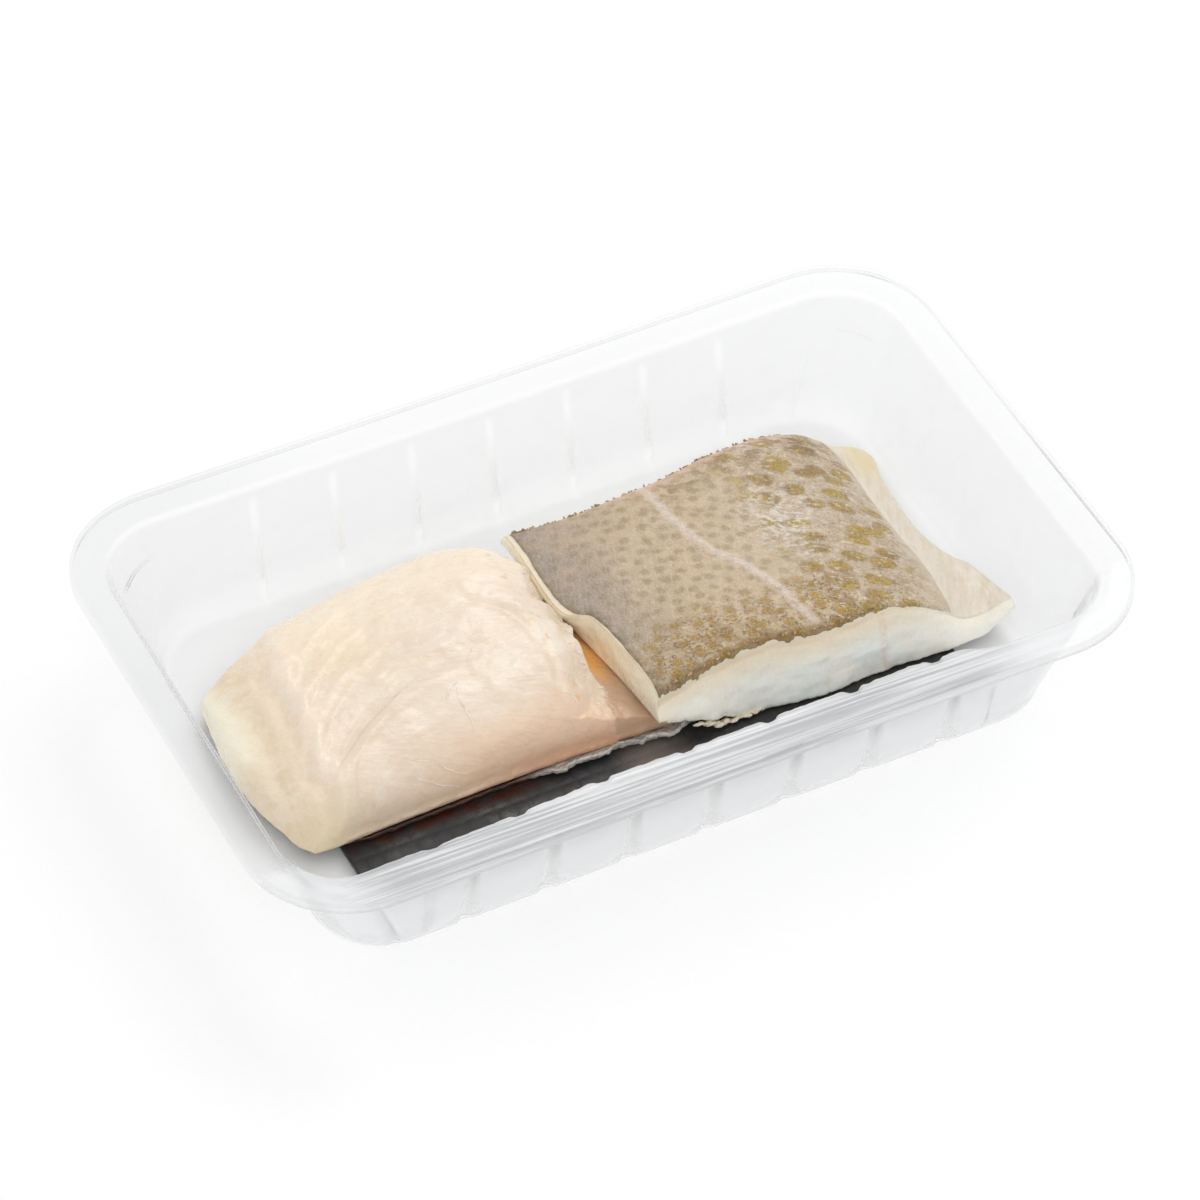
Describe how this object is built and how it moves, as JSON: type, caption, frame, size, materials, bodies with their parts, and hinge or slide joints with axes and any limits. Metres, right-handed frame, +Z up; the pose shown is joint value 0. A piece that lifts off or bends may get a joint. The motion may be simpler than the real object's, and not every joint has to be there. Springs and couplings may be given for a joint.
{
  "type": "tray pack of lightly salted cod",
  "caption": "Boneless cod portions, one flesh side up and one skin side up, on a black absorbent pad in an open clear fluted food tray.",
  "frame": {"origin": "on the plane the tray stands on, under the middle of the tray", "axes": "+X along the long side of the tray, towards the skin-up piece; +Y across the tray, away from the bare strip of pad; +Z up"},
  "size_m": [0.2248, 0.1412, 0.035],
  "materials": {
    "clear_plastic": "clear thermoformed sheet, glossy",
    "pad": "black crepe absorbent pad, damp",
    "flesh": "moist cream fish flesh with soft flakes",
    "skin_edge": "thin dark fish skin seen edge on",
    "pale_flesh": "moist white fish flesh, cut face",
    "skin": "moist mottled fish skin, taupe with olive and brown spots"
  },
  "bodies": {
    "root": {"tray": "clear_plastic", "absorbent_pad": "pad", "flesh_up_flesh": "flesh", "flesh_up_skin": "skin_edge", "skin_up_flesh": "pale_flesh", "skin_up_skin": "skin"}
  },
  "joints": []
}
